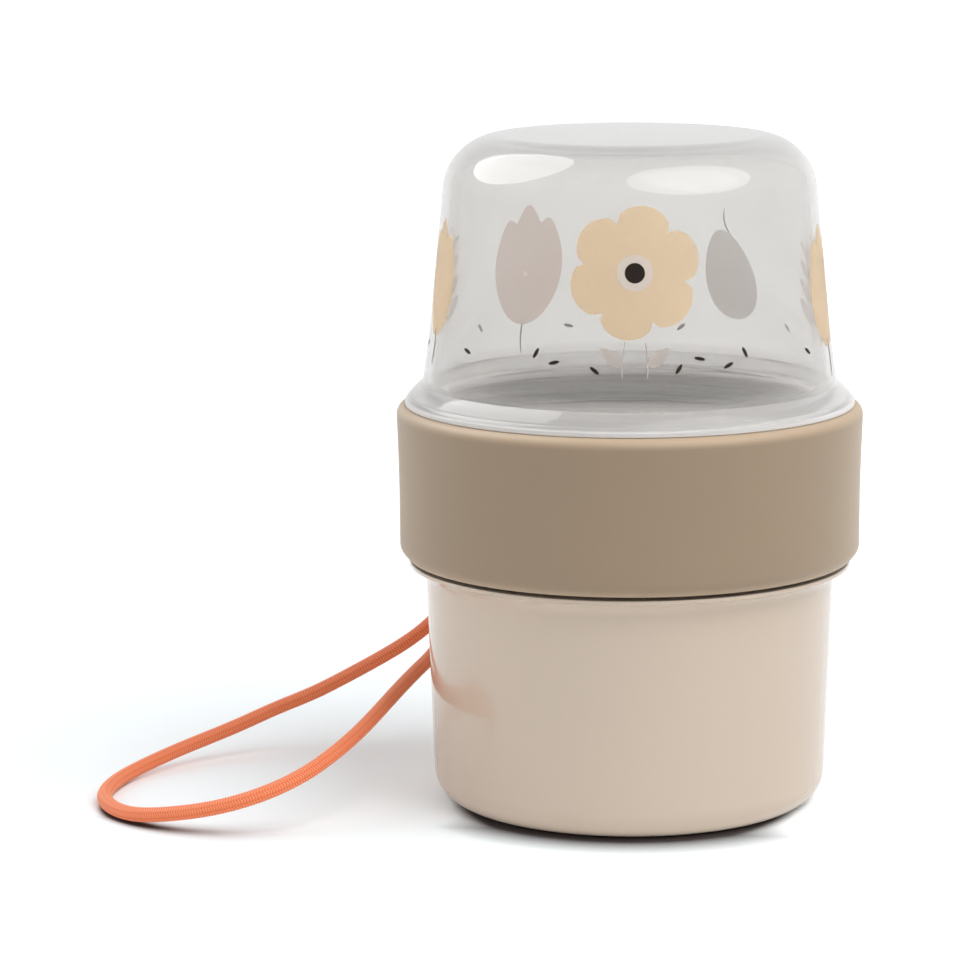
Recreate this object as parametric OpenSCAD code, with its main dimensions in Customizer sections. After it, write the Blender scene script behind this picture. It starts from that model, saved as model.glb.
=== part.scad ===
// Toddler snack container: a moulded pot, a two-way screw lid in a silicone grip band, an upturned clear cup
// and a loop of woven elastic. Millimetres, standing on z = 0, turned about the Z axis.
// The front is at -Y. The elastic leaves the back of the band, to the left.

/* [Pot] */
// Outer radius of the pot's wall at its top, which the lid, the band and the cup follow
pot_top_r = 40.8; // [37:0.1:46]
// How much narrower the pot's wall is when carried down to the floor
pot_taper = 1.4; // [0:0.1:4]
// Height of the pot's wall, up to where it flares out
pot_wall_h = 44.6; // [30:0.1:90]
// Height of the flare under the grip band
flare_h = 3.6; // [2:0.1:6]
// How far the flare stands out from the wall
flare_out = 3.4; // [2:0.1:5]
// Thickness of the shoulder that the flare ends in
shoulder_t = 0.7; // [0.5:0.1:2]
// Radius of the rounding between wall and foot
foot_round = 6; // [3:0.1:9]
// Thickness of the pot's wall and of its neck
pot_wall = 1.8; // [1.2:0.1:2.5]
// Thickness of the pot's floor
pot_floor = 2.2; // [1.5:0.1:4]
// Radius of the rounding inside, between wall and floor
inner_round = 5.5; // [2:0.1:7]
// Radius of the recess under the foot
foot_recess_r = 27; // [15:0.5:30]
// Depth of the recess under the foot
foot_recess_d = 0.8; // [0.3:0.1:1.2]
// How far the screw neck stands inside the top of the pot's wall
neck_step = 2.4; // [1.8:0.1:3]
// Height of the screw neck above the shoulder
neck_h = 22.2; // [20:0.1:40]

/* [Lid] */
// Thickness of the lid ring's wall round the pot's neck
lid_wall = 3.2; // [3:0.1:5]
// Thickness of the lid ring's wall round the cup's skirt
lid_rim_wall = 2.4; // [1.8:0.1:3]
// Thickness of the partition between the pot and the cup
web_t = 2; // [1.2:0.1:3]
// Depth of the upper socket, from the ring's top edge to the partition
upper_socket_h = 5.3; // [4.5:0.1:9]
// Radial room that a thread takes, between a neck or skirt and its socket
thread_room = 2; // [1.8:0.1:2.2]
// Gap between the pot's shoulder and the ring's lower edge
lid_low_gap = 0.9; // [0.7:0.1:2]
// How far the two ribs that key the grip band stand out of the ring
key_rib_out = 0.6; // [0.3:0.1:0.8]
// Width of each key rib at its root
key_rib_w = 2.4; // [1.5:0.1:4]
// Height of the lower key rib's middle above the ring's lower edge
key_rib_low = 11; // [9:0.1:12]
// Height of the upper key rib's middle above the ring's lower edge
key_rib_high = 23; // [16:0.1:26]
// Small chamfer on the edges of the ring and of the neck
edge_chamfer = 0.4; // [0.1:0.1:0.5]

/* [Grip band] */
// Thickness of the band's wall at its lower, straight part
band_wall = 2.4; // [2:0.1:5]
// How far the band's wall swells out at its top
band_swell = 0.45; // [0:0.05:1.5]
// Gap between the pot's shoulder and the band
band_low_gap = 0.7; // [0.5:0.1:0.8]
// Height of the bevel round the band's lower edge
band_bevel_h = 1.9; // [0.5:0.1:3]
// Width of the bevel round the band's lower edge
band_bevel_w = 1.6; // [0.5:0.1:1.8]
// Radius of the rounding on the band's upper edge
band_top_round = 1.9; // [0.5:0.1:1.9]
// How far the band's upper lip stands above the ring
band_lip_h = 0.8; // [0.2:0.1:0.8]
// Clearance between the band and what it sits on
band_fit = 0.05; // [0.02:0.01:0.1]

/* [Seals] */
// Thickness of the flat seal over the pot's rim
pot_seal_t = 1.2; // [0.8:0.1:2]
// Width of the flat seal over the pot's rim
pot_seal_w = 2.8; // [2.2:0.1:3.2]
// Thickness of the flat seal under the cup's flange
cup_seal_t = 1.1; // [1:0.1:2]
// Clearance between a seal and the wall beside it
seal_fit = 0.3; // [0.1:0.05:0.4]

/* [Clear cup] */
// Thickness of the cup's wall
cup_wall = 1.6; // [1.2:0.1:2.2]
// Thickness of the cup's flat top
cup_top_t = 1.8; // [1.2:0.1:3]
// How far the foot of the cup's wall stands outside the threaded skirt
cup_step = 2.1; // [1.7:0.1:2.6]
// How much narrower the cup is at the middle of its wall than at the foot
cup_low_taper = 1.85; // [0.5:0.05:3]
// How much narrower the cup is where its top starts to round than at the middle
cup_top_taper = 2.35; // [0.5:0.05:5]
// Height of the cup above its flange's underside
cup_h = 53.3; // [40:0.1:90]
// Height of the middle of the wall above the flange's underside
cup_mid_h = 17.6; // [14:0.1:25]
// Radius of the rounding round the cup's top
cup_top_round = 11.5; // [4:0.1:14]
// How far the cup's flange reaches past the lid ring
flange_reach = 1.25; // [0.7:0.05:1.6]
// Height of the flange's upright edge
flange_edge_h = 0.5; // [0.3:0.1:1]
// Height of the whole flange, up to the wall
flange_h = 4.1; // [3:0.1:6]
// Height of the ledge inside the cup above the flange's underside
ledge_h = 1.2; // [0.8:0.1:2]
// Gap between the skirt's end and the partition
skirt_gap = 0.7; // [0.4:0.1:1.2]

/* [Elastic] */
// Diameter of the elastic
cord_d = 3; // [2:0.1:3.2]
// Angle of the two cord holes' middle, round the band from +X
cord_angle = 125; // [0:1:359]
// Angle between the two cord holes
cord_spread = 18; // [12:1:30]
// Height of the cord holes above the band's lower edge
cord_hole_up = 4.4; // [4:0.1:7]
// Clearance round the elastic in its holes
cord_fit = 0.1; // [0.05:0.05:0.2]
// Diameter of the ferrule crimped on each end of the elastic
ferrule_d = 5.2; // [4.4:0.1:5.6]
// Length of the ferrule
ferrule_l = 3; // [2:0.1:3.2]
// Clearance round and behind a ferrule in its pocket
ferrule_fit = 0.15; // [0.1:0.05:0.3]
// Wall left in the lid ring behind a ferrule's pocket
pocket_wall = 0.8; // [0.6:0.1:1]

/* [Hidden] */
$fn = 96;

// Steps in each rounded stretch of a turned outline
arc_steps = 8;
// How far a cut runs past what it cuts
cut_over = 1;
// Share of a flat seal's thickness that each of its four chamfers takes
seal_chamfer = 0.2;
// Clearance between the elastic and the crimped ferrule on it
crimp_fit = 0.02;

// Where the outline's bends head for: out from and down from the end of the pot's flare, in from and up from
// the foot of the cup's wall, and out from and down from that foot towards the flange
flare_lead = [0.3, 0.6];
wall_lead = [0.8, 5];
flange_lead = [1.9, 1.3];
// Width and height of the slope that eases the cup's inner ledge into its wall
ledge_slope = [0.5, 0.3];

// Heights, each from the piece that it stands on
shoulder_z = pot_wall_h + flare_h + shoulder_t;
neck_z = shoulder_z + neck_h;
web_z = neck_z + pot_seal_t;
socket_z = web_z + web_t;
lid_z = shoulder_z + lid_low_gap;
lid_top_z = socket_z + upper_socket_h;
flange_z = lid_top_z + cup_seal_t;
skirt_z = socket_z + skirt_gap;
band_z = shoulder_z + band_low_gap;
band_top_z = lid_top_z + band_lip_h;
rib_low_z = lid_z + key_rib_low;
rib_high_z = lid_z + key_rib_high;
cord_z = band_z + cord_hole_up;

// Radii, each from the piece that it lies against, outwards from the pot
pot_foot_r = pot_top_r - pot_taper;
shoulder_r = pot_top_r + flare_out;
neck_r = pot_top_r - neck_step;
neck_inner_r = neck_r - pot_wall;
lower_bore_r = neck_r + thread_room;
lid_r = lower_bore_r + lid_wall;
upper_bore_r = lid_r - lid_rim_wall;
band_bore_r = lid_r + band_fit;
band_r = band_bore_r + band_wall;
band_top_r = band_r + band_swell;
skirt_r = upper_bore_r - thread_room;
skirt_inner_r = skirt_r - cup_wall;
cup_low_r = skirt_r + cup_step;
cup_mid_r = cup_low_r - cup_low_taper;
cup_top_r = cup_mid_r - cup_top_taper;
flange_r = lid_r + flange_reach;

// The elastic, its holes and its ferrules
cord_r = cord_d / 2;
hole_r = cord_r + cord_fit;
pocket_r = ferrule_d / 2 + ferrule_fit;
pocket_floor_r = lower_bore_r + pocket_wall;
ferrule_in_r = pocket_floor_r + ferrule_fit;
cord_angles = [cord_angle - cord_spread / 2, cord_angle + cord_spread / 2];

// The free elastic's middle line, from the hole nearer the back, out over the floor and home to the other
// hole. The holes' mouths come before its first point and after its last.
cord_route = [
    [-21.5, 44, 54], [-23.6, 46.6, 52.8], [-26.1, 48.4, 49.4], [-29.2, 48, 44], [-32.7, 46, 38.1],
    [-36.6, 43.2, 32.4], [-40.9, 40.4, 27.4], [-46, 38, 23.5], [-53, 37, 19.3], [-60, 36.6, 15.5],
    [-67, 35.8, 12.1], [-74, 34, 9.5], [-81, 30.5, 7], [-88, 25.5, 5], [-94, 20, 3.6],
    [-99, 14, 2.5], [-103, 7, 1.8], [-105.3, -1, 1.6], [-105.8, -9.5, 1.6], [-103.7, -17.5, 1.6],
    [-98.7, -24.5, 1.8], [-90.6, -29.9, 3.2], [-81, -33.2, 5.4], [-71.4, -33.7, 8.4], [-64.5, -30.5, 11],
    [-58.6, -24.1, 13.8], [-53.5, -14.9, 16.6], [-49.2, -3.4, 19.2], [-46, 7.5, 20.8], [-43.3, 16.2, 22],
    [-40.8, 24.1, 23.2], [-39, 30.6, 25.4], [-38.3, 36.1, 30], [-38.6, 39.9, 36.3], [-38.8, 41.2, 43],
    [-38.2, 40.6, 48.2], [-36.6, 38.4, 52.2], [-34, 35.2, 54]
];
cord_sides = 8;

// Points of a round stretch about (x, y), from angle a to angle b
function arc(x, y, r, a, b, steps = arc_steps) =
    [for (i = [0 : steps]) let (t = a + (b - a) * i / steps) [x + r * cos(t), y + r * sin(t)]];

// Points of a smooth bend from p to q that heads for c
function bend(p, c, q, steps = arc_steps) =
    [for (i = [0 : steps]) let (t = i / steps) (1 - t) * (1 - t) * p + 2 * t * (1 - t) * c + t * t * q];

// A piece turned about the Z axis from its outline
module turned(outline) {
    rotate_extrude() polygon(outline);
}

// A place on the band's axis line at height z, turned to face outwards at an angle
module facing(angle, z) {
    translate([0, 0, z]) rotate([0, 0, angle]) rotate([0, 90, 0]) children();
}

// A flat ring with four small chamfers
module flat_seal(inner_r, outer_r, z, t) {
    c = t * seal_chamfer;
    turned([[inner_r, z + c], [inner_r + c, z], [outer_r - c, z], [outer_r, z + c],
            [outer_r, z + t - c], [outer_r - c, z + t], [inner_r + c, z + t], [inner_r, z + t - c]]);
}

// The moulded pot: foot, wall, flare, shoulder and the neck that the lid screws on
module lower_pot() {
    flare_z = pot_wall_h + flare_h;
    wall_lean = atan((pot_top_r - pot_foot_r) / pot_wall_h);
    inner_foot_r = pot_foot_r - pot_wall;
    inner_wall_z = shoulder_z - flare_h;
    shoulder_chamfer = edge_chamfer / 2;
    color([0.78, 0.72, 0.66]) turned(concat(
        [[0, foot_recess_d], [foot_recess_r - foot_recess_d, foot_recess_d], [foot_recess_r, 0]],
        arc(pot_foot_r - foot_round, foot_round, foot_round, -90, -wall_lean),
        bend([pot_top_r, pot_wall_h], [pot_top_r + flare_lead.x, flare_z - flare_lead.y],
             [shoulder_r, flare_z]),
        [[shoulder_r, shoulder_z - shoulder_chamfer], [shoulder_r - shoulder_chamfer, shoulder_z]],
        [[neck_r, shoulder_z], [neck_r, neck_z - edge_chamfer], [neck_r - edge_chamfer, neck_z]],
        [[neck_inner_r + edge_chamfer, neck_z], [neck_inner_r, neck_z - edge_chamfer]],
        [[neck_inner_r, shoulder_z], [pot_top_r - pot_wall, inner_wall_z]],
        arc(inner_foot_r - inner_round, pot_floor + foot_recess_d + inner_round, inner_round, 0, -90),
        [[0, pot_floor + foot_recess_d]]
    ));
}

// The seal that the pot's rim presses, under the partition
module pot_seal() {
    color([0.93, 0.92, 0.9])
        flat_seal(lower_bore_r - seal_fit - pot_seal_w, lower_bore_r - seal_fit, neck_z, pot_seal_t);
}

// One key rib's three points on the ring's outside, at height z
function key_rib(r, out, w, z) =
    [[r, z - w / 2], [r + out, z - w / 2 + out], [r + out, z + w / 2 - out], [r, z + w / 2]];

// The groove that such a rib fits, its points in the opposite order
function key_groove(r, out, w, z) = [for (p = key_rib(r, out, w, z)) [p.x, 2 * z - p.y]];

// The hard two-way lid: a ring with a partition, a deep socket below it and a shallow one above it
module lid_ring() {
    c = edge_chamfer;
    color([0.86, 0.85, 0.83]) difference() {
        turned(concat(
            [[0, web_z], [lower_bore_r, web_z], [lower_bore_r, lid_z + c], [lower_bore_r + c, lid_z]],
            [[lid_r - c, lid_z], [lid_r, lid_z + c]],
            key_rib(lid_r, key_rib_out, key_rib_w, rib_low_z),
            key_rib(lid_r, key_rib_out, key_rib_w, rib_high_z),
            [[lid_r, lid_top_z - c], [lid_r - c, lid_top_z], [upper_bore_r + c, lid_top_z]],
            [[upper_bore_r, lid_top_z - c], [upper_bore_r, socket_z], [0, socket_z]]
        ));
        for (angle = cord_angles)
            facing(angle, cord_z) translate([0, 0, pocket_floor_r]) cylinder(r = pocket_r, h = lid_r);
    }
}

// The silicone sleeve round the lid, with the two holes that the elastic leaves by
module grip_band() {
    rib_out = key_rib_out + band_fit;
    rib_w = key_rib_w + 2 * band_fit;
    relief_r = ferrule_in_r + ferrule_l + ferrule_fit;
    color([0.62, 0.55, 0.48]) difference() {
        turned(concat(
            [[band_bore_r, band_top_z]],
            key_groove(band_bore_r, rib_out, rib_w, rib_high_z),
            key_groove(band_bore_r, rib_out, rib_w, rib_low_z),
            [[band_bore_r, band_z], [band_r - band_bevel_w, band_z], [band_r, band_z + band_bevel_h]],
            [[band_r, (band_z + band_top_z) / 2]],
            arc(band_top_r - band_top_round, band_top_z - band_top_round, band_top_round, 0, 90)
        ));
        for (angle = cord_angles) facing(angle, cord_z) {
            cylinder(r = hole_r, h = band_top_r + cut_over);
            cylinder(r = pocket_r, h = relief_r);
        }
    }
}

// The seal round the cup's skirt, pressed between the flange and the ring's top edge
module cup_seal() {
    color([0.93, 0.92, 0.9])
        flat_seal(upper_bore_r + seal_fit, band_bore_r - seal_fit, lid_top_z, cup_seal_t);
}

// The clear cup, open end down: top, wall, flange, and the skirt that screws into the upper socket
module clear_cup() {
    top_z = flange_z + cup_h;
    mid_z = flange_z + cup_mid_h;
    round_z = top_z - cup_top_round;
    low_z = flange_z + flange_h;
    lean = atan((cup_mid_r - cup_top_r) / (round_z - mid_z));
    step_z = flange_z + ledge_h;
    inner_low_r = cup_low_r - cup_wall;
    color([0.85, 0.84, 0.82, 0.45]) turned(concat(
        [[0, top_z]],
        arc(cup_top_r - cup_top_round, round_z, cup_top_round, 90, lean),
        bend([cup_mid_r, mid_z], [cup_low_r - wall_lead.x, low_z + wall_lead.y], [cup_low_r, low_z]),
        bend([cup_low_r, low_z], [cup_low_r + flange_lead.x, low_z - flange_lead.y],
             [flange_r, flange_z + flange_edge_h]),
        [[flange_r, flange_z], [skirt_r, flange_z]],
        [[skirt_r, skirt_z + edge_chamfer], [skirt_r - edge_chamfer, skirt_z], [skirt_inner_r, skirt_z]],
        [[skirt_inner_r, step_z], [inner_low_r - ledge_slope.x, step_z + ledge_slope.y]],
        bend([inner_low_r, low_z], [inner_low_r - wall_lead.x, low_z + wall_lead.y],
             [cup_mid_r - cup_wall, mid_z]),
        arc(cup_top_r - cup_top_round, round_z, cup_top_round - cup_wall, lean, 90),
        [[0, top_z - cup_top_t]]
    ));
}

// Unit vectors for the tube's frame at ring i of a list of points
function unit(v) = v / norm(v);
function heading(p, i) = unit(p[min(i + 1, len(p) - 1)] - p[max(i - 1, 0)]);
function across(d) = unit(cross(d, [0, 0, 1]));

// A tube of the elastic's size swept along points, one ring to a point
module swept_tube(points, r, sides) {
    count = len(points);
    rings = [for (i = [0 : count - 1])
        let (d = heading(points, i), u = across(d), v = cross(u, d))
        for (k = [0 : sides - 1])
            let (t = 360 * (k + 0.5) / sides) points[i] + r * (cos(t) * u + sin(t) * v)];
    walls = [for (i = [0 : count - 2], k = [0 : sides - 1])
        let (a = i * sides + k, b = i * sides + (k + 1) % sides)
            each [[a, b, b + sides], [a, b + sides, a + sides]]];
    last = (count - 1) * sides;
    caps = [for (k = [1 : sides - 2]) each [[0, k + 1, k], [last, last + k, last + k + 1]]];
    polyhedron(rings, concat(walls, caps), convexity = 10);
}

// The free elastic, from one hole's mouth to the other's
module cord_loop() {
    mouths = [for (a = cord_angles) [band_r * cos(a), band_r * sin(a), cord_z]];
    color([0.9, 0.54, 0.38]) swept_tube(concat([mouths[0]], cord_route, [mouths[1]]), cord_r, cord_sides);
}

// The elastic's two short ends, through the band and into their ferrules
module cord_ends() {
    color([0.9, 0.54, 0.38]) for (angle = cord_angles)
        facing(angle, cord_z) translate([0, 0, ferrule_in_r]) cylinder(r = cord_r, h = band_r - ferrule_in_r);
}

// The crimped ferrules that stop the elastic's ends behind the band
module cord_ferrules() {
    color([0.75, 0.75, 0.76]) for (angle = cord_angles)
        facing(angle, cord_z) translate([0, 0, ferrule_in_r]) difference() {
            cylinder(r = ferrule_d / 2, h = ferrule_l);
            translate([0, 0, -cut_over]) cylinder(r = cord_r + crimp_fit, h = ferrule_l + 2 * cut_over);
        }
}

lower_pot();
pot_seal();
lid_ring();
grip_band();
cup_seal();
clear_cup();
cord_loop();
cord_ends();
cord_ferrules();
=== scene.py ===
"""Toddler snack container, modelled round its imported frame: a moulded pot, a two-way screw lid in a silicone
grip band, an upturned clear cup with a small printed plant pattern, and a loop of woven elastic.

Everything is in metres in the frame's own axes: the pot stands on z = 0, turned about the Z axis, with its
front at -Y. Outlines are written in millimetres, as radius and height, and are turned about that axis.
"""

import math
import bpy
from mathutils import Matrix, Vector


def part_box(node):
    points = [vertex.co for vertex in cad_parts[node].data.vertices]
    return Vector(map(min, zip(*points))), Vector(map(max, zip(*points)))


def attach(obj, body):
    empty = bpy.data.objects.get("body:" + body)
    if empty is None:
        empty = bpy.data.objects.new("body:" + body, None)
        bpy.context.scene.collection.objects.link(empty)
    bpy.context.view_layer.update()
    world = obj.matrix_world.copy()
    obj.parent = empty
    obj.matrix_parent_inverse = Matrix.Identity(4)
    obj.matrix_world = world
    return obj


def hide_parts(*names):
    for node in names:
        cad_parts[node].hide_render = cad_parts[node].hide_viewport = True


bl_info = {
    "name": "Toddler Snack Container",
    "version": (1, 0, 0),
    "blender": (4, 5, 0),
    "location": "3D Viewport > Sidebar > Snack",
    "description": "Models and dresses a two-part screw snack container with a woven elastic loop",
    "category": "Object",
}

import bpy
from bpy.props import FloatProperty, FloatVectorProperty, IntProperty, PointerProperty
from bpy.types import Operator, Panel, PropertyGroup
from mathutils import Matrix, Vector

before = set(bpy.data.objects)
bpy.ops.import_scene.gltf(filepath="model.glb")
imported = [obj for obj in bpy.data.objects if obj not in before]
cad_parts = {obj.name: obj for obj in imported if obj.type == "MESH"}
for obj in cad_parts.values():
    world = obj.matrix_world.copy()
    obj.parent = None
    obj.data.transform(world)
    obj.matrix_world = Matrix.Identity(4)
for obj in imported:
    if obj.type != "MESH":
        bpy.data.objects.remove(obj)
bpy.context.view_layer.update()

MM = 0.001
TURN_STEPS = 160
ARC_STEPS = 14
SMOOTH_ANGLE = math.radians(38)


def span(node):
    """Lowest and highest height of a frame node, in millimetres."""
    low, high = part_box(node)
    return low[2] / MM, high[2] / MM


def reach(node):
    """Largest radius of a turned frame node, in millimetres."""
    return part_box(node)[1][0] / MM


# Heights that the pieces share, read from the frame, in millimetres
BAND_Z, BAND_TOP_Z = span("grip_band")
LID_Z, LID_TOP_Z = span("lid_ring")
NECK_Z, WEB_Z = span("pot_seal")
FLANGE_Z, FLANGE_R = span("cup_seal")[1], reach("clear_cup")
SKIRT_Z, CUP_TOP_Z = span("clear_cup")
SHOULDER_Z = LID_Z - 0.9
CUP_MID_Z, CUP_LOW_Z = FLANGE_Z + 17.6, FLANGE_Z + 4.1
KEY_HEIGHTS = (LID_Z + 11, LID_Z + 23)

# The elastic's holes through the band and the pockets that its ferrules sit in, in millimetres
HOLE_Z, HOLE_R = BAND_Z + 4.4, 1.6
POCKET_R, FERRULE_IN_R = 2.75, 41.35

# The two screw threads: how far their ridges stand out, their starts and their lead, in millimetres
POT_THREAD = {"height": 1.25, "starts": 4, "lead": 12}
CUP_THREAD = {"height": 1.25, "starts": 2, "lead": 6}

# The photographed view: the camera's place in millimetres, its yaw, pitch and roll in degrees, and its lens
CAMERA_PLACE = (-6.61166, -776.3237, 202.77921)
CAMERA_TURN = (-1.72216, 10.09443, -0.30119)
CAMERA_LENS = 147.324

# Strength of the even light from all round, as it falls on the object
AMBIENT = 0.5


# ---------------------------------------------------------------- settings


def size(name, description, millimetres):
    """A length given in millimetres, kept in metres."""
    return FloatProperty(
        name=name, description=description, default=millimetres * MM, min=0, unit="LENGTH", precision=5
    )


def tint(name, description, red, green, blue):
    """A colour given as a screen shows it, from 0 to 255, kept in linear light."""
    linear = [((c / 255 + 0.055) / 1.055) ** 2.4 if c > 10 else c / 255 / 12.92 for c in (red, green, blue)]
    return FloatVectorProperty(
        name=name, description=description, default=linear, min=0, max=1, subtype="COLOR"
    )


class SnackPotSettings(PropertyGroup):
    """Sizes and colour of the moulded pot"""

    wall_r: size("Wall radius", "Outer radius of the wall at its top", 40.8)
    foot_r: size("Foot radius", "Outer radius of the wall carried down to the floor", 39.4)
    wall_h: size("Wall height", "Height of the wall, up to where it flares out", 44.6)
    foot_round: size("Foot rounding", "Radius of the rounding between wall and foot", 6.0)
    wall: size("Wall thickness", "Thickness of the wall and of the screw neck", 1.8)
    neck_r: size("Neck radius", "Outer radius of the screw neck", 38.4)
    colour: tint("Pot colour", "Warm beige of the moulded pot", 203, 187, 170)


class SnackLidSettings(PropertyGroup):
    """Sizes and colour of the hard lid ring"""

    ring_r: size("Ring radius", "Outer radius of the ring inside the band", 43.6)
    lower_bore_r: size("Lower bore", "Radius of the socket that takes the pot's neck", 40.4)
    upper_bore_r: size("Upper bore", "Radius of the socket that takes the cup's skirt", 41.2)
    web_t: size("Partition", "Thickness of the partition between pot and cup", 2.0)
    colour: tint("Lid colour", "Milky grey of the lid ring", 170, 166, 161)


class SnackBandSettings(PropertyGroup):
    """Sizes and colour of the silicone grip band"""

    low_r: size("Lower radius", "Outer radius of the band's straight lower part", 46.05)
    edge_round: size("Upper rounding", "Radius of the rounding on the upper edge", 1.9)
    bevel_h: size("Bevel height", "Height of the bevel round the lower edge", 1.9)
    bevel_w: size("Bevel width", "Width of the bevel round the lower edge", 1.6)
    hole_angle: FloatProperty(
        name="Hole angle", description="Middle of the two elastic holes, from +X", default=math.radians(125),
        subtype="ANGLE",
    )
    hole_spread: FloatProperty(
        name="Hole spread", description="Angle between the two elastic holes", default=math.radians(18),
        subtype="ANGLE",
    )
    colour: tint("Band colour", "Taupe of the silicone", 150, 131, 109)


class SnackCupSettings(PropertyGroup):
    """Sizes and colour of the clear cup"""

    wall: size("Wall thickness", "Thickness of the wall", 1.6)
    top_t: size("Top thickness", "Thickness of the flat top", 1.8)
    top_r: size("Top radius", "Outer radius where the top starts to round", 37.1)
    mid_r: size("Middle radius", "Outer radius at the middle of the wall", 39.45)
    low_r: size("Lower radius", "Outer radius just above the flange", 41.3)
    top_round: size("Top rounding", "Radius of the rounding round the top", 11.5)
    skirt_r: size("Skirt radius", "Outer radius of the threaded skirt", 39.2)
    colour: tint("Cup tint", "Faint grey of the clear plastic", 240, 239, 237)


class SnackGasketSettings(PropertyGroup):
    """Sizes and colour of the two flat gaskets"""

    pot_in: size("Pot seal inside", "Inner radius of the seal on the pot's rim", 37.3)
    pot_out: size("Pot seal outside", "Outer radius of the seal on the pot's rim", 40.1)
    cup_in: size("Cup seal inside", "Inner radius of the seal under the cup's flange", 41.5)
    cup_out: size("Cup seal outside", "Outer radius of the seal under the cup's flange", 43.35)
    colour: tint("Seal colour", "Natural white of the seals", 232, 230, 224)


class SnackElasticSettings(PropertyGroup):
    """Sizes and colours of the woven elastic and its ferrules"""

    diameter: size("Diameter", "Diameter of the elastic", 3.0)
    rib: size("Rib pitch", "Distance between the weave's ribs along the elastic", 0.56)
    relief: size("Relief", "Depth between the weave's ribs", 0.09)
    lanes: IntProperty(name="Lanes", description="Plaited lanes round the elastic", default=8, min=4, max=16)
    ferrule_d: size("Ferrule diameter", "Diameter of the crimped ferrules", 5.2)
    ferrule_l: size("Ferrule length", "Length of the crimped ferrules", 3.0)
    colour: tint("Yarn", "Burnt orange of the yarn", 255, 160, 114)
    # The yarn shade is painted shade for the gaps between the weave's ribs.
    shade: tint("Yarn shade", "Darker orange between the yarn's ribs", 226, 100, 52)


class SnackPrintSettings(PropertyGroup):
    """Colours of the plant pattern printed on the cup"""

    cream: tint("Cream", "Colour of the large flower heads", 250, 231, 203)
    blush: tint("Blush", "Colour of the pink tulip head", 255, 236, 226)
    taupe: tint("Taupe", "Colour of the sprigs and leaves", 230, 222, 217)
    seed: tint("Seed", "Dark brown of the small seeds", 44, 22, 8)
    white: tint("White", "Colour of the flower's eye", 252, 248, 246)


SETTINGS = {
    "snack_pot": SnackPotSettings,
    "snack_lid": SnackLidSettings,
    "snack_band": SnackBandSettings,
    "snack_cup": SnackCupSettings,
    "snack_gaskets": SnackGasketSettings,
    "snack_elastic": SnackElasticSettings,
    "snack_print": SnackPrintSettings,
}


def in_mm(settings, name):
    """One of a piece's sizes, in millimetres."""
    return getattr(settings, name) / MM


# ---------------------------------------------------------------- outlines


def arc(x, y, radius, start, end, steps=ARC_STEPS):
    """Points of a round stretch about (x, y), between two angles in degrees."""
    angles = [math.radians(start + (end - start) * i / steps) for i in range(steps + 1)]
    return [(x + radius * math.cos(a), y + radius * math.sin(a)) for a in angles]


def bend(start, towards, end, steps=ARC_STEPS):
    """Points of a smooth bend from start to end that heads for a third point."""
    points = []
    for i in range(steps + 1):
        t = i / steps
        weights = ((1 - t) ** 2, 2 * t * (1 - t), t * t)
        points.append(tuple(sum(w * p[k] for w, p in zip(weights, (start, towards, end))) for k in (0, 1)))
    return points


def corner(before, at, after, radius, steps=4):
    """A corner of an outline eased by a small bend of about that radius."""
    ends = []
    for other in (before, after):
        way = (Vector(other) - Vector(at)).normalized() * radius
        ends.append((at[0] + way.x, at[1] + way.y))
    return bend(ends[0], at, ends[1], steps)


def eased(points, radii):
    """An open outline whose inner corners are eased, one radius for each point, 0 to leave it sharp."""
    made = [points[0]]
    for i in range(1, len(points) - 1):
        made += corner(points[i - 1], points[i], points[i + 1], radii[i]) if radii[i] else [points[i]]
    return made + [points[-1]]


def rows(radius, low, high, pitch):
    """Close rows of points up or down a straight wall, for a thread to be raised on."""
    count = max(2, round(abs(high - low) / pitch))
    return [(radius, low + (high - low) * i / count) for i in range(count + 1)]


# ---------------------------------------------------------------- modelling


def start_piece(name, first):
    """A piece with one vertex, selected in edit mode."""
    bpy.ops.object.select_all(action="DESELECT")
    bpy.ops.mesh.primitive_plane_add(size=MM, location=first)
    piece = bpy.context.object
    piece.name = piece.data.name = name
    bpy.ops.object.transform_apply(location=True, rotation=False, scale=False)
    bpy.ops.object.mode_set(mode="EDIT")
    bpy.ops.mesh.select_all(action="SELECT")
    bpy.ops.mesh.merge(type="CENTER")
    return piece


def turn(name, outline, closed=False):
    """A piece turned about the Z axis: its outline extruded vertex by vertex, then spun and merged."""
    points = [Vector((radius * MM, 0, height * MM)) for radius, height in outline]
    if closed:
        points.append(points[0])
    piece = start_piece(name, points[0])
    for before, after in zip(points, points[1:]):
        if (after - before).length > 1e-7:
            bpy.ops.mesh.extrude_vertices_move(TRANSFORM_OT_translate={"value": after - before})
    bpy.ops.mesh.select_all(action="SELECT")
    bpy.ops.mesh.spin(steps=TURN_STEPS, angle=math.tau, center=(0, 0, 0), axis=(0, 0, 1))
    bpy.ops.mesh.select_all(action="SELECT")
    bpy.ops.mesh.remove_doubles(threshold=2e-6)
    bpy.ops.mesh.normals_make_consistent(inside=False)
    bpy.ops.object.mode_set(mode="OBJECT")
    return piece


def select_only(*pieces):
    """Selects these pieces alone and makes the first one active."""
    bpy.ops.object.select_all(action="DESELECT")
    for piece in pieces:
        piece.select_set(True)
    bpy.context.view_layer.objects.active = pieces[0]


def smooth(piece):
    """Shades a piece smooth, apart from its sharp edges."""
    select_only(piece)
    bpy.ops.object.shade_smooth_by_angle(angle=SMOOTH_ANGLE)


def apply_modifier(piece, kind, **settings):
    """Adds a modifier with its settings and applies it at once."""
    modifier = piece.modifiers.new(kind.title(), kind)
    for name, value in settings.items():
        setattr(modifier, name, value)
    select_only(piece)
    bpy.ops.object.modifier_apply(modifier=modifier.name)


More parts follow.
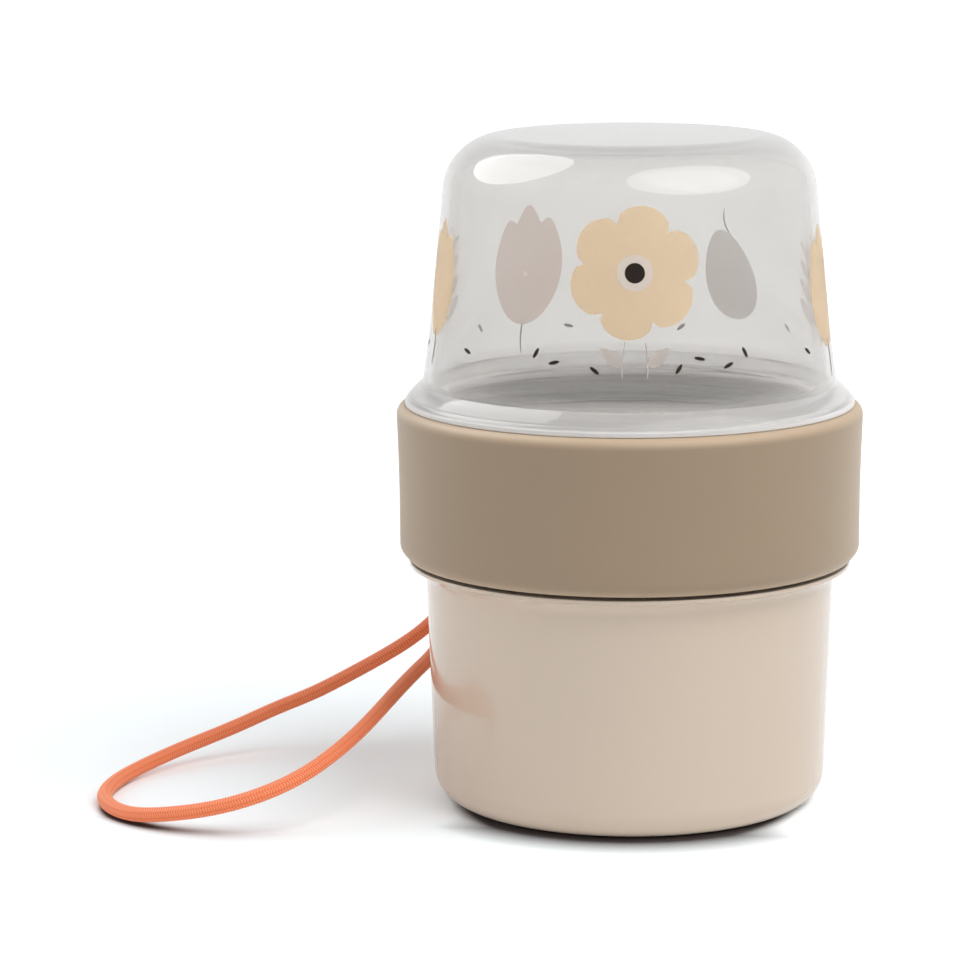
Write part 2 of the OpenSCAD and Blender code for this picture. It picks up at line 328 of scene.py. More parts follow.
def rod(name, angle, height, inner, outer, radius, sides=32):
    """A round rod that points outwards from the axis at an angle, between two radii, all in millimetres."""
    outward = Vector((math.cos(angle), math.sin(angle), 0))
    middle = outward * (inner + outer) / 2 * MM + Vector((0, 0, height * MM))
    bpy.ops.object.select_all(action="DESELECT")
    bpy.ops.mesh.primitive_cylinder_add(
        vertices=sides, radius=radius * MM, depth=(outer - inner) * MM, location=middle,
        rotation=(0, math.pi / 2, angle),
    )
    piece = bpy.context.object
    piece.name = piece.data.name = name
    bpy.ops.object.transform_apply(location=True, rotation=True, scale=True)
    return piece


def drill(piece, cutters):
    """Cuts each cutter out of a piece and removes the cutter."""
    for cutter in cutters:
        apply_modifier(piece, "BOOLEAN", operation="DIFFERENCE", solver="EXACT", object=cutter)
        bpy.data.objects.remove(cutter)


def finish_piece(piece, body, slot, material, *nodes):
    """Gives a piece its material, lets it ride on a body and stand for frame nodes. The slot is not used."""
    piece.data.materials.clear()
    piece.data.materials.append(material)
    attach(piece, body)
    if nodes:
        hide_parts(*nodes)
    return piece


class Thread:
    """A right-handed screw thread on a straight wall: ridges that climb one lead in each turn, from one
    height to another. They stand out from the wall, or in where their height is negative."""

    # Half a ridge's width at its base and at its crest, and the share of a turn in which its ends fade out
    base, crest, fade = 0.8, 0.32, 0.045

    def __init__(self, wall_r, height, starts, lead, first_angle, low, high):
        self.wall_r = wall_r
        self.height = height
        self.starts = starts
        self.lead = lead
        self.first_angle = first_angle
        self.low = low
        self.turns = (high - low) / lead

    def ridge(self, angle, z):
        """How far the ridge has risen at a place on the wall, from 0 to 1."""
        best = 0.0
        for start in range(self.starts):
            along = (angle - math.radians(self.first_angle)) / math.tau - start / self.starts
            along -= math.floor(along)
            while along <= self.turns:
                off = abs(z - self.low - self.lead * along)
                flank = min(1, max(0, (self.base - off) / (self.base - self.crest)))
                ends = min(1, along / self.fade, (self.turns - along) / self.fade)
                best = max(best, flank * flank * (3 - 2 * flank) * max(0, ends))
                along += 1
        return best

    def raise_on(self, piece):
        """Moves the vertices of the threaded wall to where the ridges are."""
        for vertex in piece.data.vertices:
            x, y, z = (c / MM for c in vertex.co)
            radius = math.hypot(x, y)
            if abs(radius - self.wall_r) > 0.002:
                continue
            rise = self.height * self.ridge(math.atan2(y, x), z)
            if rise:
                vertex.co.x *= (radius + rise) / radius
                vertex.co.y *= (radius + rise) / radius
        piece.data.update()


# ---------------------------------------------------------------- materials


class Signal:
    """A number on its way through a node tree, on which arithmetic adds Math nodes."""

    def __init__(self, tree, socket):
        self.tree = tree
        self.socket = socket

    def maths(self, operation, *others):
        """What one Math node makes of this number and others."""
        values = dict(enumerate((self, *others)))
        return self.tree.node("ShaderNodeMath", {"operation": operation}, values)

    def __add__(self, other):
        return self.maths("ADD", other)

    __radd__ = __add__

    def __sub__(self, other):
        return self.maths("SUBTRACT", other)

    def __rsub__(self, other):
        return (self * -1) + other

    def __mul__(self, other):
        return self.maths("MULTIPLY", other)

    __rmul__ = __mul__

    def __pow__(self, other):
        return self.maths("POWER", other)

    def clamped(self):
        """The same number, kept between 0 and 1."""
        limited = self + 0
        limited.socket.node.use_clamp = True
        return limited

    def between(self, low, high):
        """A ramp from 0 where the number is low to 1 where it is high."""
        return (self * (1 / (high - low)) - low / (high - low)).clamped()


class Tree:
    """The node tree of a material or of the world."""

    def __init__(self, owner):
        owner.use_nodes = True
        self.nodes = owner.node_tree.nodes
        self.links = owner.node_tree.links

    def node(self, kind, settings=(), inputs=(), output=0):
        """Adds a node: its settings first, then the values or links of its sockets. Returns one output."""
        node = self.nodes.new(kind)
        for name, value in dict(settings).items():
            setattr(node, name, value)
        for name, value in dict(inputs).items():
            if isinstance(value, Signal):
                self.links.new(value.socket, node.inputs[name])
            else:
                node.inputs[name].default_value = value
        return Signal(self, node.outputs[output])

    def rays(self, first, *others):
        """1 for rays of any of these kinds and 0 for all others."""
        seen = self.node("ShaderNodeLightPath", output=first)
        for other in others:
            seen = seen.maths("MAXIMUM", self.node("ShaderNodeLightPath", output=other))
        return seen


class Finish(Tree):
    """A procedural material built round one Principled shader, whose sockets are given with _ for a space."""

    def __init__(self, name, colour, **sockets):
        self.material = bpy.data.materials.new(name)
        super().__init__(self.material)
        self.shader = self.nodes["Principled BSDF"]
        self.shader.inputs["Base Color"].default_value = (*colour, 1)
        for socket, value in sockets.items():
            self.shader.inputs[socket.replace("_", " ")].default_value = value

    def place(self, stretch=(1, 1, 1)):
        """The place on the piece, in metres, stretched."""
        coordinates = self.node("ShaderNodeTexCoord", output="Object")
        return self.node("ShaderNodeMapping", (), {"Vector": coordinates, "Scale": stretch})

    def axes(self):
        """The place on the piece as three numbers, in metres."""
        parts = self.node("ShaderNodeSeparateXYZ", (), {"Vector": self.place()}).socket.node.outputs
        return [Signal(self, part) for part in parts]

    def section(self):
        """The place on a turned piece's section: distance from the Z axis and height, in metres."""
        x, y, z = self.axes()
        return (x * x + y * y) ** 0.5, z

    def turned_noise(self, scale, detail):
        """Noise that changes only with the distance from the Z axis and with height, like turning marks."""
        radius, height = self.section()
        across = self.node("ShaderNodeCombineXYZ", (), {"X": radius, "Z": height})
        return self.node("ShaderNodeTexNoise", (), {"Vector": across, "Scale": scale, "Detail": detail})

    def noise(self, scale, detail, stretch=(1, 1, 1), rough=0.5):
        """Soft noise from 0 to 1, with its scale in cycles to the metre."""
        inputs = {"Vector": self.place(stretch), "Scale": scale, "Detail": detail, "Roughness": rough}
        return self.node("ShaderNodeTexNoise", (), inputs)

    def mix_colours(self, factor, first, second):
        """A colour between two others."""
        inputs = {0: factor, 6: first, 7: second}
        return self.node("ShaderNodeMix", {"data_type": "RGBA"}, inputs, output=2)

    def feed(self, socket, signal):
        """Lets a signal drive one of the shader's sockets."""
        self.links.new(signal.socket, self.shader.inputs[socket])

    def second_shader(self, colour, **sockets):
        """Another Principled shader beside the first, its colour a signal."""
        inputs = {socket.replace("_", " "): value for socket, value in sockets.items()}
        return self.node("ShaderNodeBsdfPrincipled", (), {"Base Color": colour, **inputs})

    def blend_with(self, shader, share):
        """Lets a share of another shader into the finish."""
        first = Signal(self, self.shader.outputs[0])
        mixed = self.node("ShaderNodeMixShader", (), {0: share, 1: first, 2: shader})
        self.links.new(mixed.socket, self.nodes["Material Output"].inputs["Surface"])

    def relief(self, height, distance, strength=1.0):
        """Feeds a height in 0 to 1 to the shader's normal, as a bump of a distance in metres."""
        inputs = {"Height": height, "Distance": distance, "Strength": strength}
        self.feed("Normal", self.node("ShaderNodeBump", (), inputs))


def shaded(colour, factor):
    """A colour made lighter or darker by a factor, as a socket takes it."""
    return (*(min(1, c * factor) for c in colour), 1)


def pot_finish(colour):
    """Gloss moulded plastic: faint flow variation, a slightly wavy skin and small handling marks."""
    finish = Finish(
        "gloss_beige_plastic", colour, IOR=1.49, Coat_Weight=0.5, Coat_Roughness=0.03,
        Subsurface_Weight=0.06, Subsurface_Radius=(0.004, 0.003, 0.002),
    )
    flow = finish.noise(28, 4, (1, 1, 0.35))
    finish.feed("Base Color", finish.mix_colours(flow, shaded(colour, 0.965), shaded(colour, 1.03)))
    marks = finish.noise(900, 5, rough=0.65)
    finish.feed("Roughness", marks * 0.07 + 0.11)
    finish.relief(finish.noise(45, 2), 0.00012, 0.35)
    return finish.material


def lid_finish(colour):
    """Satin milky plastic of the lid, with faint turned rings from its mould in its relief, and light and dark
    rings painted into its colour as streaks of light refracted through the cup.
    """
    finish = Finish("satin_milky_plastic", colour, IOR=1.49, Specular_IOR_Level=0.25)
    # Painted light: the rings' light and dark colour stands for streaks of light refracted through the cup;
    # their bump is real relief.
    rings = finish.turned_noise(900, 4).between(0.3, 0.7)
    finish.feed("Base Color", finish.mix_colours(rings, shaded(colour, 0.72), shaded(colour, 1.22)))
    finish.feed("Roughness", finish.noise(1200, 4) * 0.1 + 0.13)
    finish.relief(rings, 0.0003, 0.8)
    return finish.material


def band_finish(colour):
    """Matt silicone: a fine eroded skin, a little dust and the sheen of soft rubber, with painted highlights
    that make its upper lip and lower bevel paler, and painted shade along its underside.
    """
    finish = Finish(
        "matt_taupe_silicone", colour, IOR=1.43, Sheen_Weight=0.5, Sheen_Roughness=0.45,
        Sheen_Tint=(0.95, 0.86, 0.74, 1),
    )
    dust = finish.noise(420, 6, rough=0.7)
    cloud = finish.noise(34, 3)
    tone = finish.mix_colours(cloud, shaded(colour, 0.95), shaded(colour, 1.03))
    specks = (dust * 6 - 3.9).clamped() * 0.2
    height = finish.axes()[2]
    # Painted highlights: the colour grows paler towards the upper lip and the lower bevel, where light catches
    # them.
    upper = height.between((BAND_TOP_Z - 2.2) * MM, (BAND_TOP_Z - 0.5) * MM)
    lower = height.between((BAND_Z + 1.3) * MM, (BAND_Z + 0.3) * MM)
    # Painted shade: a near-black brown along the band's underside, for the shaded gap between band and pot.
    base = height.between((BAND_Z + 0.12) * MM, (BAND_Z + 0.02) * MM)
    paler = finish.mix_colours(specks, tone, shaded(colour, 1.28))
    edges = finish.mix_colours((upper + lower * 0.6) * 0.85, paler, shaded(colour, 1.72))
    finish.feed("Base Color", finish.mix_colours(base, edges, (0.06, 0.03, 0.01, 1)))
    finish.feed("Roughness", finish.noise(900, 3) * 0.14 + 0.46)
    finish.relief(finish.noise(4200, 3), 0.00003, 0.6)
    return finish.material


def seal_finish(colour):
    """Satin white silicone of the gaskets."""
    finish = Finish("natural_white_silicone", colour, IOR=1.43)
    finish.feed("Roughness", finish.noise(1500, 3) * 0.15 + 0.38)
    cloud = finish.noise(80, 2)
    finish.feed("Base Color", finish.mix_colours(cloud, shaded(colour, 0.96), shaded(colour, 1.02)))
    return finish.material


def cup_finish(colour):
    """Clear plastic with a polished skin and a milky haze, denser in the flange and seen edge on. Towards the
    top the haze is denser and darker: painted shade against the stronger light that falls there.
    """
    finish = Finish(
        "clear_milky_plastic", colour, Roughness=0.03, IOR=1.08, Transmission_Weight=1, Coat_Weight=1,
        Coat_IOR=1.45, Coat_Roughness=0.03,
    )
    finish.relief(finish.noise(50, 2), 0.00008, 0.2)
    radius, height = finish.section()
    rim = radius.between((FLANGE_R - 1.6) * MM, (FLANGE_R - 0.4) * MM)
    rim = rim * height.between((FLANGE_Z + 1.1) * MM, (FLANGE_Z + 0.5) * MM)
    flange = height.between((FLANGE_Z + 6.5) * MM, (FLANGE_Z + 1.5) * MM)
    flange = flange * height.between((FLANGE_Z - 0.6) * MM, (FLANGE_Z - 0.3) * MM)
    # Painted shade: towards the top the haze thickens and its colour darkens, against the stronger light from
    # above.
    top = height.between((CUP_TOP_Z - 7) * MM, (CUP_TOP_Z - 1) * MM)
    tone = finish.mix_colours(top, (0.75, 0.735, 0.725, 1), (0.57, 0.565, 0.56, 1))
    haze = finish.second_shader(tone, Roughness=0.4, IOR=1.42, Specular_IOR_Level=0.15)
    edge_on = finish.node("ShaderNodeLayerWeight", (), {"Blend": 0.5}, "Facing")
    cloud = finish.noise(26, 3)
    share = flange * 0.3 + rim * 0.4 + top * 0.16 + cloud * 0.06 + edge_on * edge_on * 0.4 + 0.07
    finish.blend_with(haze, share)
    return finish.material


def print_finish(name, colour):
    """Satin printing ink with a faint mottle, thin enough to let some light through."""
    finish = Finish(name, colour, Roughness=0.5, IOR=1.3, Transmission_Weight=0.74)
    mottle = finish.noise(700, 4)
    finish.feed("Base Color", finish.mix_colours(mottle, shaded(colour, 0.96), shaded(colour, 1.03)))
    return finish.material


def elastic_finish(settings):
    """Woven elastic: the ribs' height is kept on the mesh, and the yarn in the gaps between them is given
    painted shade, a darker orange.
    """
    finish = Finish(
        "woven_orange_elastic", settings.colour, Sheen_Weight=0.35, Sheen_Roughness=0.5,
        Sheen_Tint=(1, 0.72, 0.52, 1),
    )
    rib = finish.node("ShaderNodeAttribute", {"attribute_name": "rib"}, (), "Fac")
    fibre = finish.noise(5200, 3)
    # Where the ribs are low, the colour goes towards the painted shade.
    level = (rib + (fibre - 0.5) * 0.5).clamped()
    finish.feed("Base Color", finish.mix_colours(level, (*settings.shade, 1), (*settings.colour, 1)))
    finish.feed("Roughness", rib * -0.12 + 0.86)
    finish.relief(fibre, 0.00004, 0.7)
    return finish.material


def ferrule_finish():
    """Brushed and crimped stainless steel."""
    finish = Finish("crimped_steel", (0.62, 0.61, 0.6), Metallic=1)
    brush = finish.noise(3000, 3, (0.1, 0.1, 1))
    finish.feed("Roughness", brush * 0.25 + 0.24)
    finish.relief(brush, 0.00002, 0.5)
    return finish.material


# ---------------------------------------------------------------- outlines of the pieces


def pot_outline(pot):
    """Foot, wall, flare, shoulder and screw neck outside, then down the inside to the floor."""
    wall_r, foot_r, wall_h = in_mm(pot, "wall_r"), in_mm(pot, "foot_r"), in_mm(pot, "wall_h")
    wall, neck_r, round_r = in_mm(pot, "wall"), in_mm(pot, "neck_r"), in_mm(pot, "foot_round")
    recess_r, recess_d, gate_r, ring_r, ring_h = 27, 0.8, 1.6, 14.0, 0.12
    floor_z, inner_round = 3.0, 5.5
    shoulder_r, flare_h = reach("lower_pot"), 3.6
    flare_z = wall_h + flare_h
    lean = math.degrees(math.atan((wall_r - foot_r) / wall_h))
    gate = [(0, recess_d + 0.3), (gate_r - 0.4, recess_d + 0.3), (gate_r, recess_d + 0.05)]
    foot = eased(
        [gate[-1], (gate_r + 0.5, recess_d), (ring_r, recess_d), (ring_r + 0.3, recess_d - ring_h),
         (ring_r + 0.9, recess_d - ring_h), (ring_r + 1.2, recess_d), (recess_r - recess_d, recess_d),
         (recess_r, 0), (foot_r - round_r, 0)],
        [0, 0, 0.1, 0.1, 0.1, 0.1, 0.5, 0.3, 0],
    )
    lip = eased(
        [(shoulder_r, flare_z), (shoulder_r, SHOULDER_Z), (neck_r, SHOULDER_Z), (neck_r, SHOULDER_Z + 1.2)],
        [0, 0.3, 0.5, 0],
    )
    rim = eased(
        [(neck_r, NECK_Z - 0.9), (neck_r, NECK_Z), (neck_r - wall, NECK_Z), (neck_r - wall, SHOULDER_Z),
         (wall_r - wall, SHOULDER_Z - flare_h), (foot_r - wall, floor_z + inner_round)],
        [0, 0.5, 0.5, 1.5, 1.2, 0],
    )
    return (
        gate
        + foot
        + arc(foot_r - round_r, round_r, round_r, -90, -lean, 20)
        + bend((wall_r, wall_h), (wall_r + 0.3, flare_z - 0.6), (shoulder_r, flare_z))
        + lip
        + rows(neck_r, SHOULDER_Z + 1.4, NECK_Z - 1.0, 0.24)
        + rim
        + arc(foot_r - wall - inner_round, floor_z + inner_round, inner_round, 0, -90)
        + [(0, floor_z)]
    )


def lid_outline(lid):
    """The partition's underside, the lower socket, the ring's outside, the upper socket and the partition."""
    ring_r, socket_z = in_mm(lid, "ring_r"), WEB_Z + in_mm(lid, "web_t")
    lower_r, upper_r = in_mm(lid, "lower_bore_r"), in_mm(lid, "upper_bore_r")
    outside = eased(
        [(lower_r, LID_Z + 0.8), (lower_r, LID_Z), (ring_r, LID_Z), (ring_r, LID_TOP_Z), (upper_r, LID_TOP_Z),
         (upper_r, LID_TOP_Z - 0.7)],
        [0, 0.4, 0.4, 0.4, 0.4, 0],
    )
    key_out, key_w, dish_r, dish_d, gate_r = 0.6, 2.4, 30.0, 0.25, 1.8
    middle = len(outside) // 2
    keys = []
    for key_z in KEY_HEIGHTS:
        keys += [(ring_r, key_z - key_w / 2), (ring_r + key_out, key_z - key_w / 2 + key_out)]
        keys += [(ring_r + key_out, key_z + key_w / 2 - key_out), (ring_r, key_z + key_w / 2)]
    return (
        [(0, WEB_Z), (lower_r, WEB_Z)]
        + rows(lower_r, WEB_Z - 0.4, LID_Z + 1.0, 0.26)
        + outside[:middle]
        + keys
        + outside[middle:]
        + rows(upper_r, LID_TOP_Z - 0.8, socket_z + 0.5, 0.16)
        + eased(
            [(upper_r, socket_z + 0.4), (upper_r, socket_z), (dish_r, socket_z),
             (dish_r - 0.4, socket_z - dish_d), (gate_r, socket_z - dish_d),
             (gate_r - 0.3, socket_z - 2 * dish_d), (0, socket_z - 2 * dish_d)],
            [0, 0.35, 0.15, 0.15, 0.1, 0.1, 0],
        )
    )


def band_outline(band):
    """The sleeve's closed section: bore with two key grooves, bevelled lower edge, wall and rounded lip."""
    low_r, top_r = in_mm(band, "low_r"), reach("grip_band")
    bore_r, round_r, groove_w, groove_d = 43.65, in_mm(band, "edge_round"), 2.5, 0.65
    bevel_h, bevel_w = in_mm(band, "bevel_h"), in_mm(band, "bevel_w")
    grooves = []
    for key_z in reversed(KEY_HEIGHTS):
        deep_r, mouth, deep = bore_r + groove_d, groove_w / 2, groove_w / 2 - groove_d
        grooves += [(bore_r, key_z + mouth), (deep_r, key_z + deep)]
        grooves += [(deep_r, key_z - deep), (bore_r, key_z - mouth)]
    lower = eased(
        [(bore_r, BAND_Z + 2), (bore_r, BAND_Z), (low_r - bevel_w, BAND_Z), (low_r, BAND_Z + bevel_h),
         (low_r, BAND_Z + 8)],
        [0, 0.3, 0.5, 0.9, 0],
    )
    middle_z = (BAND_Z + BAND_TOP_Z) / 2
    swell = bend((low_r, BAND_Z + 8), (low_r, middle_z + 2), (top_r, BAND_TOP_Z - round_r - 1))
    lip = arc(top_r - round_r, BAND_TOP_Z - round_r, round_r, 0, 90, 10)
    return [(bore_r, BAND_TOP_Z - 0.2)] + grooves + lower + swell + lip + [(bore_r + 0.2, BAND_TOP_Z)]


def gasket_outline(inner, outer, low, high):
    """A flat ring's closed section with eased edges."""
    ease = (high - low) * 0.3
    corners = [(inner, low), (outer, low), (outer, high), (inner, high)]
    points = []
    for i, at in enumerate(corners):
        points += corner(corners[i - 1], at, corners[(i + 1) % 4], ease)
    return points


def cup_form(cup):
    """The cup's outer radius at its top, middle and foot, its top rounding, that rounding's middle height and
    how many degrees its upper wall leans."""
    top_r, mid_r, low_r = in_mm(cup, "top_r"), in_mm(cup, "mid_r"), in_mm(cup, "low_r")
    round_r = in_mm(cup, "top_round")
    round_z = CUP_TOP_Z - round_r
    lean = math.degrees(math.atan((mid_r - top_r) / (round_z - CUP_MID_Z)))
    return top_r, mid_r, low_r, round_r, round_z, lean


def cup_outside(cup):
    """The cup's outside, from the middle of its top down to its flange."""
    top_r, mid_r, low_r, round_r, round_z, lean = cup_form(cup)
    wall_top = arc(top_r - round_r, round_z, round_r, lean, lean, 1)[0]
    wall_rows = [
        (wall_top[0] + (mid_r - wall_top[0]) * i / 6, wall_top[1] + (CUP_MID_Z - wall_top[1]) * i / 6)
        for i in range(1, 6)
    ]
    return (
        [(0, CUP_TOP_Z)]
        + arc(top_r - round_r, round_z, round_r, 90, lean, 26)
        + wall_rows
        + bend((mid_r, CUP_MID_Z), (low_r - 0.8, CUP_LOW_Z + 5), (low_r, CUP_LOW_Z))
        + flange_top(low_r)
    )


def flange_top(low_r):
    """The flange's upper side, a smooth flare cut by two fine rings near its edge."""
    ring_pitch, ring_depth = 0.6, 0.12
    flare = bend((low_r, CUP_LOW_Z), (low_r + 1.9, CUP_LOW_Z - 1.3), (FLANGE_R, FLANGE_Z + 0.5), 40)
    stepped = []
    for radius, z in flare:
        ring = (FLANGE_R - radius) / ring_pitch
        depth = ring_depth * max(0, 1 - abs(ring % 1 - 0.5) * 4) if 0.2 < ring < 2.2 else 0
        stepped.append((radius - depth * 0.5, z - depth))
    return stepped


def cup_outline(cup):
    """The whole clear cup: outside, flange, threaded skirt, ledge and inside."""
    wall, skirt_r = in_mm(cup, "wall"), in_mm(cup, "skirt_r")
    top_r, mid_r, low_r, round_r, round_z, lean = cup_form(cup)
    step_z, inner_low_r, rim_z, rim_r = FLANGE_Z + 1.2, low_r - wall, BAND_TOP_Z + 0.08, FLANGE_R - 1.0
    under = eased(
        [(FLANGE_R, FLANGE_Z + 0.45), (FLANGE_R, rim_z), (rim_r, rim_z), (rim_r - 0.2, FLANGE_Z),
         (skirt_r, FLANGE_Z), (skirt_r, FLANGE_Z - 0.6)],
        [0, 0.2, 0.08, 0.08, 0.2, 0],
    )
    skirt_end = eased(
        [(skirt_r, SKIRT_Z + 0.45), (skirt_r, SKIRT_Z), (skirt_r - wall, SKIRT_Z), (skirt_r - wall, step_z),
         (inner_low_r - 0.5, step_z + 0.3), (inner_low_r, CUP_LOW_Z)],
        [0, 0.3, 0.3, 0.4, 0.4, 0],
    )
    return (
        cup_outside(cup)
        + under
        + rows(skirt_r, FLANGE_Z - 0.65, SKIRT_Z + 0.5, 0.15)
        + skirt_end
        + bend((inner_low_r, CUP_LOW_Z), (inner_low_r - 0.8, CUP_LOW_Z + 5), (mid_r - wall, CUP_MID_Z))
        + arc(top_r - round_r, round_z, round_r - wall, lean, 90, 24)
        + [(0, CUP_TOP_Z - in_mm(cup, "top_t"))]
    )


# ---------------------------------------------------------------- the elastic

# The free elastic's middle line in millimetres, between the mouths of its two holes: the part's own points
ELASTIC_ROUTE = [
    (-21.5, 44, 54), (-23.6, 46.6, 52.8), (-26.1, 48.4, 49.4), (-29.2, 48, 44), (-32.7, 46, 38.1),
    (-36.6, 43.2, 32.4), (-40.9, 40.4, 27.4), (-46, 38, 23.5), (-53, 37, 19.3), (-60, 36.6, 15.5),
    (-67, 35.8, 12.1), (-74, 34, 9.5), (-81, 30.5, 7), (-88, 25.5, 5), (-94, 20, 3.6),
    (-99, 14, 2.5), (-103, 7, 1.8), (-105.3, -1, 1.6), (-105.8, -9.5, 1.6), (-103.7, -17.5, 1.6),
    (-98.7, -24.5, 1.8), (-90.6, -29.9, 3.2), (-81, -33.2, 5.4), (-71.4, -33.7, 8.4), (-64.5, -30.5, 11),
    (-58.6, -24.1, 13.8), (-53.5, -14.9, 16.6), (-49.2, -3.4, 19.2), (-46, 7.5, 20.8), (-43.3, 16.2, 22),
    (-40.8, 24.1, 23.2), (-39, 30.6, 25.4), (-38.3, 36.1, 30), (-38.6, 39.9, 36.3), (-38.8, 41.2, 43),
    (-38.2, 40.6, 48.2), (-36.6, 38.4, 52.2), (-34, 35.2, 54),
]


def hole_angles(band):
    """The angles of the two holes, in radians from +X."""
    return [band.hole_angle + side * band.hole_spread / 2 for side in (-1, 1)]


def headings(points, gaps):
    """The smoothest heading of a curve through each of its points: a natural cubic spline's."""
    last = len(points) - 1
    right = [(points[1] - points[0]) / gaps[0] * 1.5]
    upper = [0.5]
    for i in range(1, last):
        low, high = 1 / gaps[i - 1], 1 / gaps[i]
        into = (points[i] - points[i - 1]) * low * low
        out = (points[i + 1] - points[i]) * high * high
        pivot = 2 * (low + high) - low * upper[-1]
        right.append((3 * (into + out) - right[-1] * low) / pivot)
        upper.append(high / pivot)
    slope = (points[last] - points[last - 1]) / gaps[-1] * 3
    made = [(slope - right[-1]) / (2 - upper[-1])]
    for i in range(last - 1, -1, -1):
        made.insert(0, right[i] - made[0] * upper[i])
    return made


def along(points, spacing):
    """Evenly spaced points on a smooth curve through the given ones, and the curve's length in metres."""
    gaps = [(q - p).length for p, q in zip(points, points[1:])]
    ways = headings(points, gaps)
    curve, steps = [], 24
    for p, q, gap, into, out in zip(points, points[1:], gaps, ways, ways[1:]):
        for i in range(steps):
            t = i / steps
            curve.append(
                p * (2 * t**3 - 3 * t**2 + 1) + q * (3 * t**2 - 2 * t**3)
                + into * gap * (t**3 - 2 * t**2 + t) + out * gap * (t**3 - t**2)
            )
    curve.append(points[-1])
    travelled = [0.0]
    for p, q in zip(curve, curve[1:]):
        travelled.append(travelled[-1] + (q - p).length)
    count = max(2, round(travelled[-1] / spacing))
    made, at = [], 0
    for i in range(count + 1):
        goal = travelled[-1] * i / count
        while at < len(curve) - 2 and travelled[at + 1] < goal:
            at += 1
        share = (goal - travelled[at]) / max(1e-12, travelled[at + 1] - travelled[at])
        made.append(curve[at].lerp(curve[at + 1], min(1, share)))
    return made, travelled[-1]


def rib_height(around, travelled, elastic):
    """How high the weave stands at a place on the elastic, from 0 to 1: a share of a turn round it and a way
    along it in metres. The ribs slant one way and back in each lane, and are lower at its seams."""
    slant, seam_w, seam_floor = 0.55, 0.28, 0.45
    lane = around * elastic.lanes
    across = abs(lane - math.floor(lane) - 0.5) * 2
    rib = 0.5 + 0.5 * math.cos(math.tau * (travelled / elastic.rib + across * slant))
    seam = 1 - max(0, across - (1 - seam_w)) / seam_w
    return rib * (seam_floor + (1 - seam_floor) * seam)


def woven_tube(name, line, elastic, sides=32):
    """A tube round a line, with the weave's ribs raised on it and their height kept as "rib"."""
    radius = elastic.diameter / 2
    vertices, heights, faces = [], [], []
    way = (line[1] - line[0]).normalized()
    side = way.cross(Vector((0, 0, 1)))
    if side.length < 0.1:
        side = way.cross(Vector((0, 1, 0)))
    travelled = 0.0
    for i, point in enumerate(line):
        before, after = line[max(0, i - 1)], line[min(len(line) - 1, i + 1)]
        way = (after - before).normalized()
        side = (side - way * side.dot(way)).normalized()
        up = way.cross(side)
        if i:
            travelled += (point - line[i - 1]).length
        for k in range(sides):
            height = rib_height(k / sides, travelled, elastic)
            reach_out = radius - elastic.relief * (1 - height)
            angle = math.tau * k / sides
            vertices.append(point + (side * math.cos(angle) + up * math.sin(angle)) * reach_out)
            heights.append(height)
    for i in range(len(line) - 1):
        for k in range(sides):
            a, b = i * sides + k, i * sides + (k + 1) % sides
            faces.append((a, b, b + sides, a + sides))
    faces.append(tuple(reversed(range(sides))))
    faces.append(tuple(range((len(line) - 1) * sides, len(line) * sides)))
    mesh = bpy.data.meshes.new(name)
    mesh.from_pydata([tuple(v) for v in vertices], [], faces)
    mesh.update()
    mesh.attributes.new("rib", "FLOAT", "POINT").data.foreach_set("value", heights)
    piece = bpy.data.objects.new(name, mesh)
    bpy.context.scene.collection.objects.link(piece)
    smooth(piece)
    return piece


# ---------------------------------------------------------------- operators


class SNACK_OT_camera(Operator):
    """Place the camera at the photographed viewing angle"""

    bl_idname = "snack.camera"
    bl_label = "Camera"

    def execute(self, context):
        yaw, pitch, roll = (math.radians(a) for a in CAMERA_TURN)
        ahead = Vector((math.sin(yaw) * math.cos(pitch), math.cos(yaw) * math.cos(pitch), -math.sin(pitch)))
        right = Vector((math.cos(yaw), -math.sin(yaw), 0))
        up = right.cross(ahead)
        tilted = (right * math.cos(roll) + up * math.sin(roll), up * math.cos(roll) - right * math.sin(roll))
        data = bpy.data.cameras.new("studio_camera")
        data.lens = CAMERA_LENS
        data.sensor_width = 36
        data.clip_start = 0.05
        data.clip_end = 100
        camera = bpy.data.objects.new("studio_camera", data)
        context.scene.collection.objects.link(camera)
        turned = Matrix((tilted[0], tilted[1], -ahead)).transposed()
        camera.matrix_world = Matrix.Translation(Vector(CAMERA_PLACE) * MM) @ turned.to_4x4()
        context.scene.camera = camera
        return {"FINISHED"}


